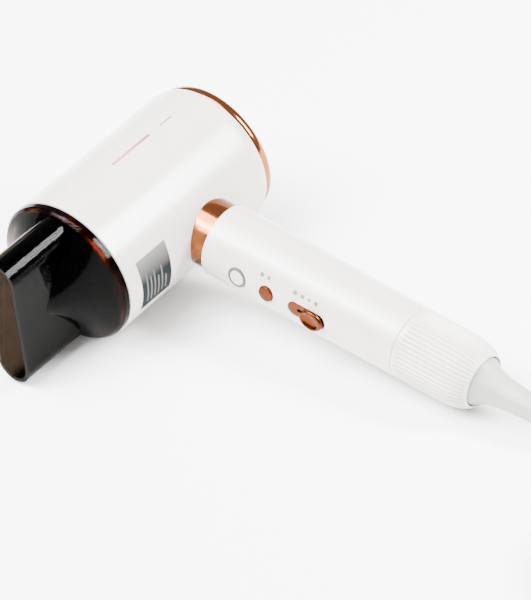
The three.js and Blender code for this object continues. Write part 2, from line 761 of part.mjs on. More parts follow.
export default dryer;
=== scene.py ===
"""Looks for the hair dryer: camera, cord, detailed pieces, materials and light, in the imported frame."""

import json
import math

import bmesh
import bpy
from mathutils import Matrix, Quaternion, Vector


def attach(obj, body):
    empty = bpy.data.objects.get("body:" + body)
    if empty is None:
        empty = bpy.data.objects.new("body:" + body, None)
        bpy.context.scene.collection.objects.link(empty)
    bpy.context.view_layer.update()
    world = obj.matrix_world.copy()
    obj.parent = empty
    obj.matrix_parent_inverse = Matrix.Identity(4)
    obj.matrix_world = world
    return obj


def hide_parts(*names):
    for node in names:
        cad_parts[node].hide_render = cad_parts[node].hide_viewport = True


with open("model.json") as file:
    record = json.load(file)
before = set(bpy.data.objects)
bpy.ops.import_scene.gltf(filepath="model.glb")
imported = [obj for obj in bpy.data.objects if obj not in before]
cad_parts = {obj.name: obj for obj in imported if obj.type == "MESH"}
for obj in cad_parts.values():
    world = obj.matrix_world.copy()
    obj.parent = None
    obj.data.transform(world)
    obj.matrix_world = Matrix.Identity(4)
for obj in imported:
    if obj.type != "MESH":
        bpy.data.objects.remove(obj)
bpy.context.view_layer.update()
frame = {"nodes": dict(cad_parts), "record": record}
scene = bpy.context.scene

# ---- sizes, in millimetres like the CAD ----
MM = 0.001
BARREL_RADIUS = 39.0
BARREL_FRONT = -62.9
BARREL_REAR = 43.8
REAR_FACE = 49.3
REAR_COVER_WALL = 2.0
NOZZLE_MOUTH = -111.3
HANDLE_RADIUS = 19.1
HANDLE_END_RADIUS = 18.4
HANDLE_START = 46.8
COVER_START = 164.0
COVER_ROUND_START = 191.0
COVER_END = 206.8
CORD_RADIUS = 3.5
HANDLE_DROOP = math.radians(6.1554)
BARREL_PLACE = Vector((-84.0, 31.0, 39.0))
SEGMENTS = 192

# Local +X runs along the barrel's axis in one place and along the handle's axis in the other.
BARREL = Matrix.Translation(BARREL_PLACE) @ Matrix.Rotation(math.pi / 2, 4, "Z")
HANDLE = Matrix.Translation(BARREL_PLACE) @ Matrix.Rotation(HANDLE_DROOP, 4, "Y")
TO_METRES = Matrix.Scale(MM, 4)


# ---- camera ----
def make_camera():
    """A long lens, 2.4 m away, looking down on the nozzle and the control side."""
    azimuth, elevation, roll = (math.radians(a) for a in (44.2712, 40.3524, -7.6924))
    target = Vector((-3.34, 18.29, 19.74)) * MM
    distance = 2.4
    across = Vector((math.cos(azimuth), math.sin(azimuth), 0))
    level = Vector((math.sin(azimuth), -math.cos(azimuth), 0))
    back = math.cos(elevation) * level + math.sin(elevation) * Vector((0, 0, 1))
    up = back.cross(across)
    right = math.cos(roll) * across + math.sin(roll) * up
    top = math.cos(roll) * up - math.sin(roll) * across
    data = bpy.data.cameras.new("camera")
    data.lens = 293.5
    data.sensor_width = 36
    camera = bpy.data.objects.new("camera", data)
    facing = Matrix((right, top, back)).transposed().to_4x4()
    camera.matrix_world = Matrix.Translation(target + distance * back) @ facing
    scene.collection.objects.link(camera)
    scene.camera = camera


make_camera()


# ---- materials ----
class Look:
    """A Principled material, with short calls for the textures that vary it."""

    def __init__(self, name, colour, roughness, metallic=0.0, **sockets):
        self.material = bpy.data.materials.new(name)
        self.material.use_nodes = True
        self.tree = self.material.node_tree
        self.shader = self.tree.nodes["Principled BSDF"]
        self.place = self.tree.nodes.new("ShaderNodeTexCoord").outputs["Object"]
        self.set("Base Color", (*colour, 1))
        self.set("Roughness", roughness)
        self.set("Metallic", metallic)
        for socket, value in sockets.items():
            self.set(socket.replace("_", " "), value)

    def set(self, socket, value):
        self.shader.inputs[socket].default_value = value

    def node(self, kind, **inputs):
        made = self.tree.nodes.new("ShaderNode" + kind)
        for name, value in inputs.items():
            socket = made.inputs[name.replace("_", " ")]
            if isinstance(value, bpy.types.NodeSocket):
                self.tree.links.new(value, socket)
            else:
                socket.default_value = value
        return made

    def along(self, axis):
        """Where a point lies along X, Y or Z, in metres."""
        return self.node("SeparateXYZ", Vector=self.place).outputs[axis]

    def total(self, one, other):
        adder = self.node("Math", Value=one)
        self.tree.links.new(other, adder.inputs[1])
        return adder.outputs[0]

    def noise(self, per_metre, detail=3.0, stretch=(1, 1, 1)):
        spread = self.node("Mapping", Vector=self.place, Scale=stretch)
        made = self.node("TexNoise", Vector=spread.outputs[0], Scale=per_metre, Detail=detail)
        return made.outputs["Fac"]

    def cells(self, per_metre):
        return self.node("TexVoronoi", Vector=self.place, Scale=per_metre).outputs["Distance"]

    def between(self, fac, low, high, start=0.3, end=0.7):
        made = self.node("MapRange", Value=fac, From_Min=start, From_Max=end, To_Min=low, To_Max=high)
        return made.outputs["Result"]

    def tint(self, fac, one, other, start=0.3, end=0.7):
        ramp = self.node("ValToRGB", Fac=fac)
        points = ramp.color_ramp.elements
        points[0].position, points[0].color = start, (*one, 1)
        points[1].position, points[1].color = end, (*other, 1)
        self.tree.links.new(ramp.outputs["Color"], self.shader.inputs["Base Color"])
        return self

    def rough(self, fac, low, high):
        self.tree.links.new(self.between(fac, low, high), self.shader.inputs["Roughness"])
        return self

    def bump(self, height, strength, depth_mm):
        made = self.node("Bump", Height=height, Strength=strength, Distance=depth_mm * MM)
        self.tree.links.new(made.outputs["Normal"], self.shader.inputs["Normal"])
        return self


def pearl_white():
    """White moulded plastic with a soft pearly coat."""
    look = Look("pearl_white", (0.58, 0.55, 0.52), 0.3, Coat_Weight=0.5, Coat_Roughness=0.2)
    look.tint(look.noise(60, 5), (0.565, 0.535, 0.50), (0.605, 0.578, 0.545))
    look.rough(look.noise(220, 4), 0.27, 0.35)
    return look.bump(look.noise(3500, 2), 0.08, 0.02).material


def rose_gold(name, dark, light, low, high):
    look = Look(name, light, high, 1.0)
    look.tint(look.noise(90, 4), dark, light)
    look.rough(look.noise(700, 5, (1, 6, 1)), low, high)
    return look.bump(look.noise(1800, 3), 0.05, 0.02).material


def smoked():
    """Dark clear plastic. Its thin rim is clearer and tinted copper: the clearer tint lets the rose-gold ring
    behind it show through, and the copper colour is a painted reflection of that ring.
    """
    look = Look("smoked", (0.03, 0.02, 0.015), 0.05, Transmission_Weight=1.0, IOR=1.1)
    rim_start, rim_end = -0.0372, -0.0362
    rim = look.between(look.along("Y"), 0.0, 1.0, rim_start, rim_end)
    cloud = look.between(look.noise(40, 3), -0.03, 0.03)
    # The rim band's copper tint is a painted reflection of the rose-gold ring; its lighter tint also lets the
    # real ring show through.
    dark, painted_ring_tint = (0.0135, 0.0095, 0.0065), (0.14, 0.046, 0.028)
    look.tint(look.total(rim, cloud), dark, painted_ring_tint, 0.0, 1.0)
    look.rough(look.noise(150, 3), 0.035, 0.05)
    return look.bump(look.noise(180, 2), 0.0012, 0.02).material


def plastic(name, dark, light, low, high, grain=2500, strength=0.25):
    look = Look(name, light, high)
    look.tint(look.noise(150, 5), dark, light)
    look.rough(look.noise(400, 4), low, high)
    return look.bump(look.noise(grain, 3), strength, 0.04).material


def metal(name, dark, light, low, high):
    look = Look(name, light, high, 1.0)
    look.tint(look.noise(200, 4), dark, light)
    look.rough(look.noise(900, 5, (1, 8, 1)), low, high)
    return look.bump(look.noise(2500, 3, (1, 10, 1)), 0.12, 0.02).material


def foam():
    look = Look("foam", (0.10, 0.105, 0.11), 0.95)
    look.tint(look.cells(900), (0.03, 0.03, 0.035), (0.14, 0.145, 0.15), 0.1, 0.6)
    return look.bump(look.cells(900), 0.8, 0.4).material


def label_film():
    """Dull silver film, darker towards its foot: partly the film's own darker lower print, partly painted
    shade where it turns down towards the floor.
    """
    look = Look("label_silver", (0.10, 0.11, 0.11), 0.45, Specular_IOR_Level=0.04)
    foot, head = 0.028, 0.060
    height = look.between(look.along("Z"), 0.0, 1.0, foot, head)
    # Darker towards the foot: the film's darker lower print with painted shade on top of it.
    look.tint(height, (0.007, 0.010, 0.011), (0.24, 0.232, 0.22), 0.35, 1.0)
    look.rough(look.noise(300, 4), 0.38, 0.5)
    return look.bump(look.noise(900, 3), 0.06, 0.02).material


PEARL_WHITE = pearl_white()
ROSE_GOLD = rose_gold("rose_gold", (0.24, 0.072, 0.025), (0.29, 0.094, 0.034), 0.09, 0.19)
# A darker, rougher copy of the rose gold for the buttons and the slider: its darker colour is painted shade,
# since they face the bright floor.
ROSE_GOLD_PAINTED_SHADE = rose_gold("rose_gold_painted_shade", (0.068, 0.0145, 0.0035), (0.09, 0.02, 0.005), 0.16, 0.28)
SMOKED = smoked()
CORD_GREY = plastic("cord_grey", (0.30, 0.315, 0.288), (0.345, 0.36, 0.332), 0.42, 0.55)
DARK_PLASTIC = plastic("dark_plastic", (0.018, 0.018, 0.019), (0.03, 0.03, 0.032), 0.45, 0.6)
TRIM_GREY = plastic("trim_grey", (0.055, 0.052, 0.050), (0.080, 0.076, 0.073), 0.35, 0.5)
STEEL = metal("steel", (0.50, 0.51, 0.52), (0.66, 0.67, 0.68), 0.18, 0.32)
COPPER = metal("copper_winding", (0.45, 0.20, 0.10), (0.62, 0.30, 0.16), 0.25, 0.4)
MICA = plastic("mica", (0.42, 0.36, 0.22), (0.58, 0.51, 0.34), 0.5, 0.8, 900, 0.4)
CERAMIC = plastic("ceramic_white", (0.68, 0.67, 0.63), (0.76, 0.75, 0.72), 0.4, 0.6)
BOARD_GREEN = plastic("board_green", (0.02, 0.10, 0.045), (0.035, 0.15, 0.07), 0.3, 0.5)
FOAM = foam()
BLACK_RUBBER = plastic("black_rubber", (0.012, 0.012, 0.013), (0.022, 0.022, 0.024), 0.6, 0.8, 1500, 0.4)
LABEL_SILVER = label_film()
WIRE_RED = plastic("wire_red", (0.35, 0.02, 0.02), (0.45, 0.035, 0.03), 0.35, 0.5)
WIRE_BLUE = plastic("wire_blue", (0.02, 0.04, 0.25), (0.03, 0.06, 0.35), 0.35, 0.5)
MARK_GREY = plastic("mark_grey", (0.12, 0.118, 0.113), (0.16, 0.157, 0.15), 0.4, 0.55)
ROSE_PRINT = plastic("rose_print", (0.34, 0.12, 0.08), (0.42, 0.16, 0.11), 0.35, 0.5)

BY_SLOT = {
    "pearl_white": PEARL_WHITE,
    "rose_gold": ROSE_GOLD,
    "smoked_plastic": SMOKED,
    "cord_grey": CORD_GREY,
    "dark_plastic": DARK_PLASTIC,
    "trim_grey": TRIM_GREY,
    "steel": STEEL,
    "copper_winding": COPPER,
    "mica": MICA,
    "ceramic_white": CERAMIC,
    "board_green": BOARD_GREEN,
    "foam": FOAM,
    "black_rubber": BLACK_RUBBER,
    "label_silver": LABEL_SILVER,
    "wire_red": WIRE_RED,
    "wire_blue": WIRE_BLUE,
}


def finish_cad_nodes():
    """Every CAD node gets its slot's material. Those that show low facets are replaced further down."""
    slots = {part["node"]: part["material_slot"] for part in frame["record"]["subparts"]}
    for name, node in frame["nodes"].items():
        node.data.materials.clear()
        node.data.materials.append(BY_SLOT[slots[name]])


finish_cad_nodes()


# ---- the free cord: route, coil, tie and plug ----
COIL_PLACE = Vector((252.0, -13.5, 0.0))
COIL_RADII = (46.5, 39.5, 32.5)
LAYERS = (3.5, 10.5)
CORD_START = (164.6, 31.0, 12.18)
CORD_RUN = (
    (172.9, 31.0, 11.3),
    (178, 31.0, 10.7),
    (184, 31.1, 9.9),
    (190, 31.3, 8.8),
    (196, 31.5, 7.5),
    (202, 31.8, 6.2),
    (208, 32.1, 5.0),
    (214, 32.4, 4.1),
    (219, 32.6, 3.65),
    (224, 32.8, 3.5),
    (238, 33.0, 3.5),
)
CORD_TAIL = (
    (268, 30.7, 10.5),
    (279, 28.3, 10.2),
    (289.5, 25.7, 9.6),
    (295, 22.8, 8.9),
    (300, 19.2, 8.3),
    (304.5, 15.2, 8.0),
    (308.6, 10.7, 8.0),
    (312.2, 5.9, 8.3),
    (315.3, 0.8, 8.9),
    (317.8, -4.6, 9.7),
    (319.8, -10.3, 10.7),
    (321.2, -16.2, 11.5),
    (322, -22, 12),
    (322.1, -26, 12),
)
WHOLE_TURNS = 5
# The cord leaves the coil this many degrees past its last whole turn.
LEAVING = 12.0


def eased(value, start, end):
    t = min(max((value - start) / (end - start), 0.0), 1.0)
    return t * t * (3 - 2 * t)


def coil_point(travelled):
    """A point of the coil, from the degrees travelled clockwise since the cord came in at the far side.

    The lower layer winds inwards in three turns, climbs, and the upper one winds outwards again.
    """
    inward = eased(travelled, 240, 360) + eased(travelled, 600, 720)
    climb = eased(travelled, 860, 980)
    outward = eased(travelled, 1150, 1270) + eased(travelled, 1510, 1630)
    pitch = COIL_RADII[0] - COIL_RADII[1]
    radius = COIL_RADII[0] + pitch * (outward - inward)
    height = LAYERS[0] + (LAYERS[1] - LAYERS[0]) * climb
    angle = math.pi / 2 - math.radians(travelled)
    return COIL_PLACE + Vector((radius * math.cos(angle), radius * math.sin(angle), height))


def cord_route():
    step = 15
    total = 360 * WHOLE_TURNS + LEAVING
    steps = round(total / step)
    turns = [coil_point(total * i / steps) for i in range(steps + 1)]
    return [Vector(CORD_START), *map(Vector, CORD_RUN), *turns, *map(Vector, CORD_TAIL)]


def make_cord():
    points = cord_route()
    curve = bpy.data.curves.new("cord", "CURVE")
    curve.dimensions = "3D"
    curve.bevel_depth = CORD_RADIUS * MM
    curve.bevel_resolution = 6
    curve.resolution_u = 6
    curve.use_fill_caps = True
    spline = curve.splines.new("BEZIER")
    spline.bezier_points.add(len(points) - 1)
    for i, point in enumerate(points):
        before, after = points[max(i - 1, 0)], points[min(i + 1, len(points) - 1)]
        along = (after - before).normalized()
        knot = spline.bezier_points[i]
        knot.handle_left_type = knot.handle_right_type = "FREE"
        knot.co = point * MM
        knot.handle_left = (point - along * (point - before).length / 3) * MM
        knot.handle_right = (point + along * (after - point).length / 3) * MM
    curve.materials.append(CORD_GREY)
    cord = bpy.data.objects.new("cord", curve)
    scene.collection.objects.link(cord)
    return cord


# ---- mesh helpers ----
def turned(profile, segments=SEGMENTS):
    """A turned shape about local X from (along, radius) points. It closes on the axis or on itself."""
    vertices, rings, faces = [], [], []
    for along, radius in profile:
        first = len(vertices)
        count = segments if radius > 1e-6 else 1
        for i in range(count):
            turn = 2 * math.pi * i / segments
            vertices.append((along, radius * math.cos(turn), radius * math.sin(turn)))
        rings.append(range(first, first + count))
    following = rings[1:] if len(rings[0]) == 1 else rings[1:] + rings[:1]
    for one, two in zip(rings, following):
        for i in range(segments):
            j = (i + 1) % segments
            corners = (one[i % len(one)], one[j % len(one)], two[j % len(two)], two[i % len(two)])
            face = list(dict.fromkeys(corners))
            if len(face) > 2:
                faces.append(face)
    return vertices, faces


def band(start, end, inner, outer):
    return [(start, inner), (start, outer), (end, outer), (end, inner)]


def extruded(outline, low, high):
    """A closed outline in local Y and Z, given a length along local X."""
    count = len(outline)
    vertices = [(x, y, z) for x in (low, high) for y, z in outline]
    faces = [[i, (i + 1) % count, count + (i + 1) % count, count + i] for i in range(count)]
    return vertices, [*faces, list(range(count)), list(range(count, 2 * count))]


def pill(half_width, half_height, corner, steps=16):
    points = []
    for quarter, (sx, sy) in enumerate(((1, 1), (-1, 1), (-1, -1), (1, -1))):
        for i in range(steps + 1):
            turn = (quarter + i / steps) * math.pi / 2
            x = sx * (half_width - corner) + corner * math.cos(turn)
            y = sy * (half_height - corner) + corner * math.sin(turn)
            points.append((x, y))
    return list(dict.fromkeys((round(x, 5), round(y, 5)) for x, y in points))


def new_object(name, shape, place):
    vertices, faces = shape
    mesh = bpy.data.meshes.new(name)
    mesh.from_pydata([TO_METRES @ place @ Vector(v) for v in vertices], [], faces)
    work = bmesh.new()
    work.from_mesh(mesh)
    bmesh.ops.remove_doubles(work, verts=work.verts, dist=1e-6)
    bmesh.ops.recalc_face_normals(work, faces=work.faces)
    work.to_mesh(mesh)
    work.free()
    mesh.shade_smooth()
    made = bpy.data.objects.new(name, mesh)
    scene.collection.objects.link(made)
    return made


def combine(target, operation, *tools):
    """Applies tools to target as booleans and removes them."""
    for tool in tools:
        modifier = target.modifiers.new("combine", "BOOLEAN")
        modifier.operation = operation
        modifier.object = tool
        modifier.solver = "EXACT"
        bpy.context.view_layer.update()
        ready = target.evaluated_get(bpy.context.evaluated_depsgraph_get())
        mesh = bpy.data.meshes.new_from_object(ready)
        target.modifiers.clear()
        target.data = mesh
        bpy.data.objects.remove(tool)
    target.data.shade_smooth()
    return target


def dress(made, material, body, stands_for=(), bevel_mm=0.0):
    made.data.materials.clear()
    made.data.materials.append(material)
    if bevel_mm:
        edge = made.modifiers.new("edge", "BEVEL")
        edge.width = bevel_mm * MM
        edge.segments = 3
        edge.limit_method = "ANGLE"
        edge.angle_limit = math.radians(35)
        edge.harden_normals = True
    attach(made, body)
    if stands_for:
        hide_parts(*stands_for)
    return made


def piece(name, shape, place, material, body, stands_for=(), bevel_mm=0.0):
    return dress(new_object(name, shape, place), material, body, stands_for, bevel_mm)


def true_normals(made, place, candidates):
    """Sets each corner's normal to the nearest of the true surface's normals there, or leaves it flat."""
    close = math.cos(math.radians(14))
    back = (TO_METRES @ place).inverted()
    turn = place.to_3x3()
    mesh = made.data
    normals = [None] * len(mesh.loops)
    for face in mesh.polygons:
        flat = (turn.inverted() @ face.normal).normalized()
        for index in face.loop_indices:
            spot = back @ mesh.vertices[mesh.loops[index].vertex_index].co
            best = max(candidates(spot), key=lambda normal: normal.dot(flat))
            normals[index] = turn @ (best if best.dot(flat) > close else flat)
    mesh.normals_split_custom_set(normals)


# ---- cord pieces ----
def between_knots(before, start, end, after, t):
    """A smooth value between start and end, with slopes taken from their neighbours."""
    bend = 2 * before - 5 * start + 4 * end - after
    twist = 3 * start - before - 3 * end + after
    return 0.5 * (2 * start + (end - before) * t + bend * t**2 + twist * t**3)


def strain_relief_profile():
    """The sleeve's section: a stub inside the handle's end, then a smooth taper to the cord."""
    thick_end = ((206.2, 12.6), (207.5, 11.9), (210, 10.4), (215, 8.8))
    thin_end = ((222, 7.6), (235, 6.5), (250, 5.3), (258, 4.7))
    knots = (*thick_end, *thin_end)
    steps, last = 6, len(knots) - 1
    points = [knots[0]]
    for i in range(last):
        near = [knots[min(max(i + k, 0), last)] for k in (-1, 0, 1, 2)]
        for j in range(1, steps + 1):
            points.append(tuple(between_knots(*values, j / steps) for values in zip(*near)))
    stub = [(189.5, 0), (189.5, 8), (196.3, 8), (196.3, 12.6)]
    mouth = [(258, 3.6), (256, 0)]
    return [*stub, *points, *mouth]


# Local +X of the plug's place points from its pins back to the cord.
PLUG = Matrix.Translation((322.1, 0, 12)) @ Matrix.Rotation(math.pi / 2, 4, "Z")
PIN_SPACING = 19.0


def make_plug():
    """The flat plug, the small boot where the cord comes in, and two round pins."""
    body = extruded(pill(18, 12, 9, 12), -76, -41)
    grip = piece("plug_grip", body, PLUG, CORD_GREY, "housing", ["plug_body"], 1.2)
    inside = [(-41.5, 0), (-24.5, 0), (-24.5, 3.6), (-22.8, 3.6)]
    outside = [(-22.8, 4.7), (-29, 5.2), (-37, 6.0), (-41.5, 7.6)]
    sleeve = turned([*inside, *outside], 64)
    boot = piece("plug_boot", sleeve, PLUG, CORD_GREY, "housing", (), 0.4)
    pin = [(-76.3, 0), (-76.3, 2.4), (-93.4, 2.4), (-94.6, 1.7), (-95, 0.9), (-95, 0)]
    pins = []
    for name, side in (("left", 1), ("right", -1)):
        place = PLUG @ Matrix.Translation((0, side * PIN_SPACING / 2, 0))
        node = f"plug_pin_{name}"
        pins.append(piece(f"pin_{name}", turned(pin, 32), place, STEEL, "housing", [node], 0.2))
    return [grip, boot, *pins]


def make_cord_pieces(strap):
    cord = make_cord()
    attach(cord, "housing")
    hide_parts("cord_run", "cord_coil", "cord_tail")
    sleeve = turned(strain_relief_profile(), 96)
    piece("strain_relief_sleeve", sleeve, HANDLE, CORD_GREY, "housing", ["strain_relief"])
    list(make_plug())


# ---- barrel ----
def shoulder_profile():
    """The barrel's rounded rear shoulder, from its straight side to its rear edge."""
    length, rise, rear_radius, steps = 7.0, 1.8, 37.2, 16
    turns = [i / steps * math.pi / 2 for i in range(steps + 1)]
    return [(BARREL_REAR - length + length * math.sin(t), rear_radius + rise * math.cos(t)) for t in turns]


def make_barrel():
    outside = [(BARREL_FRONT, 36.8), (BARREL_FRONT, BARREL_RADIUS), *shoulder_profile()]
    inside = [(BARREL_REAR, 35.2), (36.8, 36.8)]
    shell = turned([*outside, *inside])
    piece("barrel_skin", shell, BARREL, PEARL_WHITE, "housing", ["barrel_shell"], 0.35)
    ring = [
        (40.5, 33.4),
        (40.5, 34.9),
        (44.1, 34.9),
        (44.1, 36.6),
        (45.0, 36.95),
        (46.4, 37.0),
        (47.8, 36.8),
        (48.8, 36.1),
        (48.8, 31.8),
        (43.5, 31.8),
        (43.5, 33.4),
    ]
    piece("rear_ring", turned(ring), BARREL, ROSE_GOLD, "housing", ["rear_trim_ring"], 0.25)
    under = REAR_FACE - REAR_COVER_WALL
    cover = [(44, 29.6), (44, 31.4), (REAR_FACE, 31.4), (REAR_FACE, 0), (under, 0), (under, 29.6)]
    piece("rear_cap", turned(cover), BARREL, PEARL_WHITE, "housing", ["rear_cover"], 0.6)
    front = [(-64.8, 33.0), (-64.8, 35.6), (-61.0, 35.6), (-61.0, 36.5), (-58.0, 36.5), (-58.0, 33.0)]
    piece("front_ring", turned(front), BARREL, ROSE_GOLD, "housing", ["front_trim_ring"], 0.3)


def make_grille():
    """Fine rings on spokes round a small hub, in one moulded piece."""
    front, back, bar = -62.5, -60.5, 1.1
    hub = new_object("grille", turned([(front, 0), (front, 6.0), (back, 6.0), (back, 0)], 64), BARREL)
    spoke = extruded([(-32.2, -0.5), (32.2, -0.5), (32.2, 0.5), (-32.2, 0.5)], front + 0.2, back - 0.2)
    tools = []
    for radius in (32.7, 28.4, 24.1, 19.8, 15.5, 11.2):
        tools.append(new_object("ring", turned(band(front, back, radius - bar, radius), 96), BARREL))
    for i in range(4):
        tools.append(new_object("spoke", spoke, BARREL @ Matrix.Rotation((i + 0.5) * math.pi / 4, 4, "X")))
    combine(hub, "UNION", *tools)
    dress(hub, DARK_PLASTIC, "housing", ["outlet_grille"], 0.15)


def patch(radius, proud, middle, half_angle, start, end, steps=24):
    """A thin plate bent round local X, between two angles in radians and two places along X."""
    angles = [middle + half_angle * (2 * i / steps - 1) for i in range(steps + 1)]
    outline = [((radius + proud) * math.cos(a), (radius + proud) * math.sin(a)) for a in angles]
    outline += [(radius * math.cos(a), radius * math.sin(a)) for a in reversed(angles)]
    return extruded(outline, start, end)


def dot(radius, proud, middle, along, size, steps=20):
    """A round mark that follows the round surface it is printed on."""
    turns = [2 * math.pi * i / steps for i in range(steps)]
    vertices = []
    for level in (radius - 0.4, radius + proud):
        for turn in turns:
            angle = middle + size * math.sin(turn) / radius
            spot = (along + size * math.cos(turn), level * math.cos(angle), level * math.sin(angle))
            vertices.append(spot)
    faces = [[i, (i + 1) % steps, steps + (i + 1) % steps, steps + i] for i in range(steps)]
    return vertices, [*faces, list(range(steps)), list(range(steps, 2 * steps))]


def joined(shapes):
    """Several shapes as one, for the small marks of one print."""
    vertices, faces = [], []
    for more_vertices, more_faces in shapes:
        first = len(vertices)
        vertices += more_vertices
        faces += [[first + i for i in face] for face in more_faces]
    return vertices, faces


def make_barrel_marks():
    """A plain rose line and a plain grey dash along the top of the barrel."""
    top, under = math.pi / 2, BARREL_RADIUS - 0.2
    line = patch(under, 0.26, top, 0.8 / BARREL_RADIUS, -24, 4, 12)
    piece("barrel_line", line, BARREL, ROSE_PRINT, "housing")
    dash = patch(under, 0.25, top, 0.45 / BARREL_RADIUS, 12.5, 21, 8)
    piece("barrel_dash", dash, BARREL, MARK_GREY, "housing")


def make_label():
    """The rating label: a silver film with plain bars in place of its text."""
    side, half = math.pi + 0.035, 0.393
    start, end = -54.0, -32.6
    plate = patch(BARREL_RADIUS + 0.05, 0.16, side, half, start, end)
    piece("rating_plate", plate, BARREL, LABEL_SILVER, "housing", ["rating_label"], 0.05)
    first, pitch, width = start + 3.2, 2.7, 0.95
    bars = []
    for i, share in enumerate((0.62, 0.5, 0.58, 0.4, 0.55, 0.3)):
        low = first + i * pitch
        middle = side + half * (0.75 - share)
        bars.append(patch(BARREL_RADIUS + 0.1, 0.19, middle, half * share, low, low + width, 24))
    piece("rating_bars", joined(bars), BARREL, TRIM_GREY, "housing", (), 0.03)


# ---- nozzle ----
FLARE_START, FLARE_LENGTH = -98.0, 30.0
FLARE_TIP, FLARE_RISE = 9.0, 28.3
NOZZLE_WALL = 2.0
# The rim stands against the barrel's front. A step inside it holds the steel ring.
RIM_BACK, RIM_FRONT = -63.2, -66.3
RIM_RADIUS = 38.6
SEAT_RADIUS, SEAT_FRONT, SEAT_LIP = 36.0, -67.3, 33.8
SLOT_HALF_GAP, SLOT_HALF_STRAIGHT = 10.0, 27.0


def flare(inset, steps=48):
    """The flare's outline from the rim to the duct, nearer the axis by inset."""
    points = []
    for i in range(steps + 1):
        t = 1 - i / steps
        points.append((FLARE_START + FLARE_LENGTH * t, FLARE_TIP + FLARE_RISE * t * t - inset))
    return points


def nozzle_normals(spot):
    """The normals that the nozzle's flare, duct, rim and the duct's round ends would have at a point."""
    radial = Vector((0, spot.y, spot.z)).normalized()
    slope = 2 * FLARE_RISE * (spot.x - FLARE_START) / FLARE_LENGTH**2
    found = [Vector((-slope, radial.y, radial.z)).normalized(), Vector((0, 1, 0))]
    if spot.x > FLARE_START + FLARE_LENGTH:
        found.append(radial)
    for end in (-SLOT_HALF_STRAIGHT, SLOT_HALF_STRAIGHT):
        found.append(Vector((0, spot.y, spot.z - end)).normalized())
    return [*found, *(-normal for normal in found)]


def duct(inset, start, end):
    """The flat slot's tube, smaller all round by inset, between two places along the barrel's axis."""
    half_gap = SLOT_HALF_GAP - inset
    return extruded(pill(half_gap, SLOT_HALF_STRAIGHT + half_gap, half_gap, 24), start, end)


def make_nozzle():
    rim = [(RIM_BACK, 0), (RIM_BACK, RIM_RADIUS - 0.3), (RIM_BACK - 0.3, RIM_RADIUS), (RIM_FRONT, RIM_RADIUS)]
    outer = [*rim, *flare(0), (FLARE_START, 0)]
    seat = [(RIM_BACK + 2, 0), (RIM_BACK + 2, SEAT_RADIUS), (SEAT_FRONT, SEAT_RADIUS), (SEAT_FRONT, SEAT_LIP)]
    # Inside, the flare's widest points would stand out past the step's lip, so a short slope replaces them.
    past_lip = 4
    inner = [*seat, *flare(NOZZLE_WALL)[past_lip:], (FLARE_START, 0)]
    shell = new_object("nozzle", turned(outer), BARREL)
    combine(shell, "UNION", new_object("duct", duct(0, NOZZLE_MOUTH, -69), BARREL))
    hollow = new_object("inside", turned(inner), BARREL)
    slot = new_object("slot", duct(NOZZLE_WALL, NOZZLE_MOUTH - 2, -69.5), BARREL)
    combine(shell, "DIFFERENCE", hollow, slot)
    dress(shell, SMOKED, "nozzle", ["nozzle_shell"])
    true_normals(shell, BARREL, nozzle_normals)
    ring = turned(band(-67.0, -65.1, 33.0, 35.6))
    piece("nozzle_steel_ring", ring, BARREL, STEEL, "nozzle_ring", ["nozzle_magnet_ring"], 0.2)


# ---- handle ----
COOL_PLACE, MODE_PLACE, TRACK_PLACE, SLIDER_PLACE = 69.5, 87.8, 112.6, 116.6
COOL_RING_RADIUS, COOL_BUTTON_RADIUS, MODE_BUTTON_RADIUS = 5.3, 4.1, 4.2
TRACK_HALF_LENGTH, TRACK_HALF_WIDTH = 11.2, 3.9
STEM_HALF_LENGTH, STEM_HALF_WIDTH = 1.4, 0.6
KNOB_HALF_LENGTH, KNOB_HALF_WIDTH = 6.9, 5.4
CONTROL_TURN = math.radians(5.5)
# Local +X of this place points out of the handle's control side, local Y along the handle.
CONTROLS = HANDLE @ Matrix.Rotation(-CONTROL_TURN, 4, "X") @ Matrix.Rotation(-math.pi / 2, 4, "Z")


def hole_tool(radius, along):
    """A drill with a short countersink where it meets the handle's surface."""
    profile = [(12, 0), (12, radius), (18.9, radius), (20.4, radius + 1.0), (23, radius + 1.0), (23, 0)]
    return new_object("drill", turned(profile, 96), CONTROLS @ Matrix.Translation((0, along, 0)))


def round_normals(spot):
    radial = Vector((0, spot.y, spot.z)).normalized()
    return [radial, -radial]


def make_handle():
    collar = [(30, 15.0), (30, 17.6), (46.5, 17.6), (46.5, 15.0)]
    piece("collar", turned(collar), HANDLE, ROSE_GOLD, "housing", ["handle_collar"], 0.3)
    end_radius = HANDLE_END_RADIUS + 0.2
    profile = [
        (HANDLE_START, 17),
        (HANDLE_START, HANDLE_RADIUS - 0.5),
        (HANDLE_START + 0.15, HANDLE_RADIUS - 0.15),
        (HANDLE_START + 0.5, HANDLE_RADIUS),
        (COVER_START - 0.5, end_radius),
        (COVER_START - 0.3, end_radius - 0.07),
        (COVER_START - 0.2, end_radius - 0.25),
        (COVER_START - 0.2, 17),
    ]
    shell = new_object("handle_skin", turned(profile), HANDLE)
    hole_length, hole_width = TRACK_HALF_LENGTH + 0.3, TRACK_HALF_WIDTH + 0.3
    track_outline = pill(hole_length, hole_width, hole_width)
    track_place = CONTROLS @ Matrix.Translation((0, TRACK_PLACE, 0))
    combine(
        shell,
        "DIFFERENCE",
        hole_tool(COOL_RING_RADIUS + 0.25, COOL_PLACE),
        hole_tool(MODE_BUTTON_RADIUS + 0.25, MODE_PLACE),
        new_object("track_hole", extruded(track_outline, 12, 22), track_place),
    )
    dress(shell, PEARL_WHITE, "housing", ["handle_shell"])
    true_normals(shell, HANDLE, round_normals)


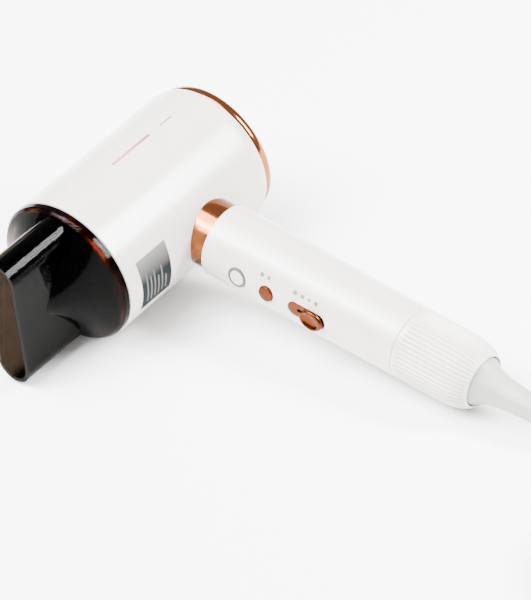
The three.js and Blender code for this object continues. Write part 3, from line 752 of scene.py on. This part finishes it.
def domed(inner, edge, top, radius, steps=6):
    """A button's profile: a straight side, a rounded edge and a slightly domed face."""
    soft = 0.45
    points = [(inner, 0), (inner, radius)]
    for i in range(steps + 1):
        turn = i / steps * math.pi / 2
        points.append((edge + soft * math.sin(turn), radius - soft + soft * math.cos(turn)))
    rise = top - edge - soft
    for i in range(1, steps):
        out = 1 - i / steps
        points.append((edge + soft + rise * (1 - out * out), (radius - soft) * out))
    return [*points, (top, 0)]


def make_buttons():
    cool = CONTROLS @ Matrix.Translation((0, COOL_PLACE, 0))
    mode = CONTROLS @ Matrix.Translation((0, MODE_PLACE, 0))
    ring = band(17.3, 19.45, COOL_BUTTON_RADIUS + 0.2, COOL_RING_RADIUS)
    piece("cool_ring", turned(ring, 96), cool, TRIM_GREY, "housing", ["cool_shot_ring"], 0.25)
    face = turned(domed(16.8, 19.0, 19.65, COOL_BUTTON_RADIUS), 96)
    piece("cool_button_face", face, cool, PEARL_WHITE, "cool_shot", ["cool_shot_button"])
    face = turned(domed(16.8, 19.3, 20.0, MODE_BUTTON_RADIUS), 96)
    # The mode button takes the darker rose gold, whose darkness is painted shade.
    piece("mode_button_face", face, mode, ROSE_GOLD_PAINTED_SHADE, "mode", ["mode_button"])


def make_slider():
    # The track and the knob take the darker rose gold, whose darkness is painted shade.
    place = CONTROLS @ Matrix.Translation((0, TRACK_PLACE, 0))
    outline = pill(TRACK_HALF_LENGTH, TRACK_HALF_WIDTH, TRACK_HALF_WIDTH)
    track = new_object("track", extruded(outline, 17.2, 18.3), place)
    combine(track, "DIFFERENCE", new_object("slot", extruded(pill(5.8, 0.9, 0.9), 16, 20), place))
    dress(track, ROSE_GOLD_PAINTED_SHADE, "housing", ["slider_track"], 0.2)
    knob_place = CONTROLS @ Matrix.Translation((0, SLIDER_PLACE, 0))
    oval = knob_place @ Matrix.Diagonal((1, KNOB_HALF_LENGTH / KNOB_HALF_WIDTH, 1, 1))
    side = [(19.45, 0), (19.45, 5.2), (19.6, 5.35), (20.5, KNOB_HALF_WIDTH), (21.0, 5.2), (21.3, 4.75)]
    dish = [(21.3, 4.4), (21.1, 4.1), (20.6, 3.5), (20.2, 2.6), (20.0, 1.3), (19.95, 0)]
    knob = new_object("slider_knob", turned([*side, *dish], 96), oval)
    stem = [(STEM_HALF_LENGTH * x, STEM_HALF_WIDTH * y) for x, y in ((-1, -1), (1, -1), (1, 1), (-1, 1))]
    combine(knob, "UNION", new_object("stem", extruded(stem, 15.2, 19.75), knob_place))
    dress(knob, ROSE_GOLD_PAINTED_SHADE, "slider", ["speed_slider"])
    knob.data.set_sharp_from_angle(angle=math.radians(40))


def make_handle_marks():
    """Small generic setting dots above the button and the slider, printed on the shell."""
    middle = math.pi - math.radians(32.5)
    spots = ((83.4, 1.15), (87.5, 0.9), (103.9, 1.15), (108.4, 0.95), (112.6, 0.7), (116.7, 1.05))
    marks = [dot(HANDLE_RADIUS, 0.05, middle, along, size) for along, size in spots]
    piece("handle_marks", joined(marks), HANDLE, MARK_GREY, "housing", (), 0.02)


# ---- ribbed intake cover ----
RIBS = 48
RIB_SHAPE = (0.0, 0.0, 0.0, 0.1, 0.5, 0.95, 1.0, 0.95, 0.5, 0.1)
RIB_DEPTH = 0.8
COVER_WALL = 1.3
END_HALF_LENGTH, END_DEPTH = 16.67, 7.0


def cover_rows():
    """Rows of (along, radius, normal along, normal out, groove depth), outside first and then back inside."""
    last = math.asin((COVER_END - COVER_ROUND_START) / END_HALF_LENGTH)
    side = HANDLE_END_RADIUS + 0.1
    rows = [(COVER_START, side - 0.2, 0, 1, 0), (COVER_START + 0.08, side - 0.06, 0, 1, 0)]
    rows += [(COVER_START + 0.25, side, 0, 1, 0), (COVER_START + 2.8, side, 0, 1, 0)]
    rows += [(COVER_START + x, side, 0, 1, RIB_DEPTH * depth) for x, depth in ((3.3, 0.5), (3.8, 1), (14, 1))]
    steps = 20
    for i in range(steps + 1):
        turn = last * i / steps
        radius = HANDLE_END_RADIUS - END_DEPTH * (1 - math.cos(turn))
        fade = 1 - eased(i, steps - 4, steps - 1)
        along = COVER_ROUND_START + END_HALF_LENGTH * math.sin(turn)
        rows.append((along, radius, math.sin(turn), math.cos(turn), RIB_DEPTH * fade))
    mouth = HANDLE_END_RADIUS - END_DEPTH * (1 - math.cos(last))
    rows += [(COVER_END - 0.15, mouth - 0.35, 1, 0, 0), (COVER_END - 0.6, mouth - 0.5, 1, 0, 0)]
    rows.append((COVER_END - 1.4, mouth - 0.4, 1, 0, 0))
    for i in range(12, -1, -2):
        turn = last * i / steps
        along = COVER_ROUND_START + (END_HALF_LENGTH - COVER_WALL) * math.sin(turn)
        radius = HANDLE_END_RADIUS - END_DEPTH * (1 - math.cos(turn)) - COVER_WALL * math.cos(turn)
        rows.append((along, radius, 0, -1, 0))
    return [*rows, (COVER_START, 17.1, 0, -1, 0)]


def make_intake_cover():
    columns = RIBS * len(RIB_SHAPE)
    rows = cover_rows()
    vertices, faces = [], []
    for along, radius, forward, outward, depth in rows:
        for i in range(columns):
            turn = 2 * math.pi * i / columns
            drop = depth * RIB_SHAPE[i % len(RIB_SHAPE)]
            out = radius - drop * outward
            vertices.append((along - drop * forward, out * math.cos(turn), out * math.sin(turn)))
    for row in range(len(rows)):
        one, two = row * columns, (row + 1) % len(rows) * columns
        for i in range(columns):
            j = (i + 1) % columns
            faces.append((one + i, one + j, two + j, two + i))
    shape = (vertices, faces)
    cover = piece("ribbed_cover", shape, HANDLE, PEARL_WHITE, "cover", ["intake_cover"])
    cover.data.set_sharp_from_angle(angle=math.radians(50))


def make_strap():
    """The coil's tie, a flat loop round the wound cord."""
    low, high, inner, outer, half_wide = 0.15, 15.2, 27.6, 51.2, 4.0
    thick, corner = 1.0, 3.0
    place = Matrix.Translation(COIL_PLACE) @ Matrix.Rotation(math.pi / 6, 4, "Z")
    middle = Vector((-(inner + outer) / 2, (low + high) / 2))
    half = Vector(((outer - inner) / 2, (high - low) / 2))
    loops = []
    for inset in (0.0, thick):
        outline = pill(half.x - inset, half.y - inset, corner - inset, 6)
        loops.append([(middle.x - x, middle.y + y) for x, y in outline])
    count = len(loops[0])
    vertices = [(x, y, z) for x in (-half_wide, half_wide) for loop in loops for y, z in loop]
    faces = []
    for i in range(count):
        j = (i + 1) % count
        for a, b in ((0, 2), (2, 3), (3, 1), (1, 0)):
            faces.append((a * count + i, a * count + j, b * count + j, b * count + i))
    shape = (vertices, faces)
    return piece("coil_strap", shape, place, BLACK_RUBBER, "housing", ["coil_tie"], 0.2)


make_cord_pieces(make_strap())
make_barrel()
make_grille()
make_barrel_marks()
make_label()
make_nozzle()
make_handle()
make_buttons()
make_slider()
make_handle_marks()
make_intake_cover()


# ---- floor and light ----
def make_floor():
    half = 6.0
    corners = [(-half, -half, 0), (half, -half, 0), (half, half, 0), (-half, half, 0)]
    mesh = bpy.data.meshes.new("floor")
    mesh.from_pydata(corners, [], [(0, 1, 2, 3)])
    floor = bpy.data.objects.new("floor", mesh)
    scene.collection.objects.link(floor)
    look = Look("floor_white", (0.95, 0.95, 0.95), 0.9)
    look.rough(look.noise(12, 3), 0.85, 0.95)
    mesh.materials.append(look.material)


def area_light(name, spot, target, size, watts, turn=0.0):
    data = bpy.data.lights.new(name, "AREA")
    data.shape = "RECTANGLE"
    data.size, data.size_y = size
    data.energy = watts
    light = bpy.data.objects.new(name, data)
    light.location = spot
    light.rotation_mode = "QUATERNION"
    aim = (Vector(target) - Vector(spot)).to_track_quat("-Z", "Y")
    light.rotation_quaternion = aim @ Quaternion((0, 0, 1), math.radians(turn))
    scene.collection.objects.link(light)


def make_light():
    world = bpy.data.worlds.new("studio")
    world.use_nodes = True
    world.node_tree.nodes["Background"].inputs["Color"].default_value = (1, 1, 1, 1)
    world.node_tree.nodes["Background"].inputs["Strength"].default_value = 0.9
    scene.world = world
    key = bpy.data.lights.new("key", "SUN")
    key.energy = 17.5
    key.angle = math.radians(55)
    light = bpy.data.objects.new("key", key)
    light.rotation_mode = "QUATERNION"
    light.rotation_quaternion = Vector((0.28, 0.34, -0.88)).to_track_quat("-Z", "Y")
    scene.collection.objects.link(light)
    area_light("front_band", (-0.47, -0.53, 1.15), (0.03, 0.03, 0.03), (0.25, 0.5), 24)
    area_light("rear_strip", (0.71, 0.645, 0.79), (-0.084, -0.06, 0.05), (0.2, 0.7), 60, -27)


make_floor()
make_light()
